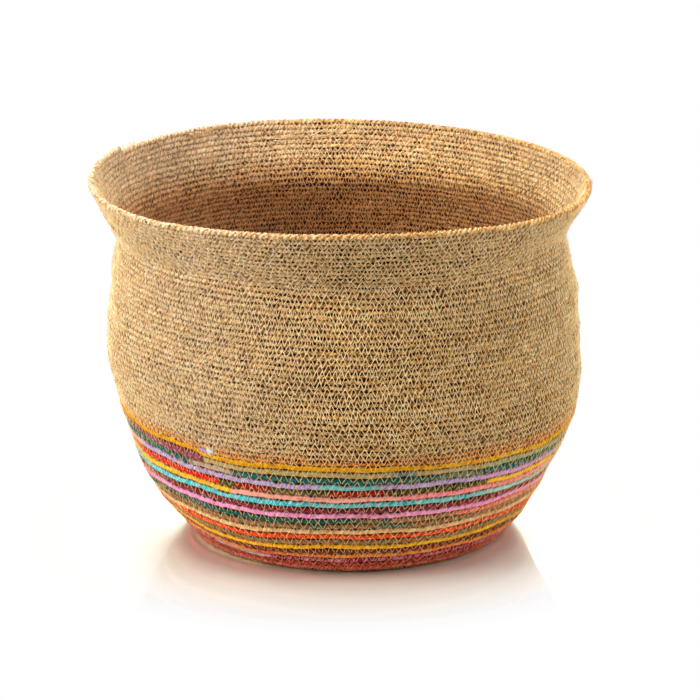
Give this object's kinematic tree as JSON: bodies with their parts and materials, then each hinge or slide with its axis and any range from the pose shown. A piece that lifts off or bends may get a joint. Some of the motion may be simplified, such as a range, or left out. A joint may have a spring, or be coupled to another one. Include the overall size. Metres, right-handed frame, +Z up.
{
  "type": "basket",
  "caption": "Round coiled jute basket with a bellied wall, a pinched neck, a flared wavy rim and a band of coloured cloth-wrapped turns at the foot.",
  "frame": {"origin": "on the surface that the basket stands on, under the middle of its overall box", "axes": "+Z up through the mouth; -Y is the front that the picture shows, +X is to the right of it"},
  "size_m": [0.4232, 0.4487, 0.3204],
  "materials": {
    "jute": "bare twisted jute cord, matte, hairy",
    "cloth_rose": "cotton rag strip wound round the cord, matte",
    "cloth_dark_red": "cotton rag strip wound round the cord, matte",
    "cloth_magenta": "cotton rag strip wound round the cord, matte",
    "cloth_tan_orange": "cotton rag strip wound round the cord, matte",
    "cloth_dark_brown": "cotton rag strip wound round the cord, matte",
    "cloth_mustard": "cotton rag strip wound round the cord, matte",
    "cloth_olive_brown": "cotton rag strip wound round the cord, matte",
    "cloth_orange_red": "cotton rag strip wound round the cord, matte",
    "cloth_cream": "cotton rag strip wound round the cord, matte",
    "cloth_flecked_brown": "cotton rag strip wound round the cord, matte",
    "cloth_coral": "cotton rag strip wound round the cord, matte",
    "cloth_deep_teal": "cotton rag strip wound round the cord, matte",
    "cloth_orchid": "cotton rag strip wound round the cord, matte",
    "cloth_maroon": "cotton rag strip wound round the cord, matte",
    "cloth_turquoise": "cotton rag strip wound round the cord, matte",
    "cloth_pink": "cotton rag strip wound round the cord, matte",
    "cloth_golden": "cotton rag strip wound round the cord, matte",
    "cloth_dark_green": "cotton rag strip wound round the cord, matte",
    "cloth_bright_red": "cotton rag strip wound round the cord, matte",
    "cloth_lavender": "cotton rag strip wound round the cord, matte",
    "cloth_teal": "cotton rag strip wound round the cord, matte",
    "cloth_grey_beige": "cotton rag strip wound round the cord, matte",
    "cloth_old_maroon": "cotton rag strip wound round the cord, matte",
    "cloth_yellow": "cotton rag strip wound round the cord, matte"
  },
  "bodies": {
    "root": {"base_coil": "jute", "base_edge_cord": "jute", "cord_01_rose": "cloth_rose", "cord_02_dark_red": "cloth_dark_red", "cord_03_magenta": "cloth_magenta", "cord_04_tan_orange": "cloth_tan_orange", "cord_05_dark_brown": "cloth_dark_brown", "cord_06_mustard": "cloth_mustard", "cord_07_olive_brown": "cloth_olive_brown", "cord_08_orange_red": "cloth_orange_red", "cord_09_cream": "cloth_cream", "cord_10_flecked_brown": "cloth_flecked_brown", "cord_11_coral": "cloth_coral", "cord_12_deep_teal": "cloth_deep_teal", "cord_13_orchid": "cloth_orchid", "cord_14_maroon": "cloth_maroon", "cord_15_turquoise": "cloth_turquoise", "cord_16_pink": "cloth_pink", "cord_17_golden": "cloth_golden", "cord_18_dark_green": "cloth_dark_green", "cord_19_bright_red": "cloth_bright_red", "cord_20_lavender": "cloth_lavender", "cord_21_teal": "cloth_teal", "cord_22_grey_beige": "cloth_grey_beige", "cord_23_old_maroon": "cloth_old_maroon", "cord_24_yellow": "cloth_yellow", "jute_lower_wall": "jute", "jute_belly": "jute", "jute_shoulder": "jute", "jute_neck": "jute", "jute_flare": "jute", "jute_rim": "jute"}
  },
  "joints": []
}
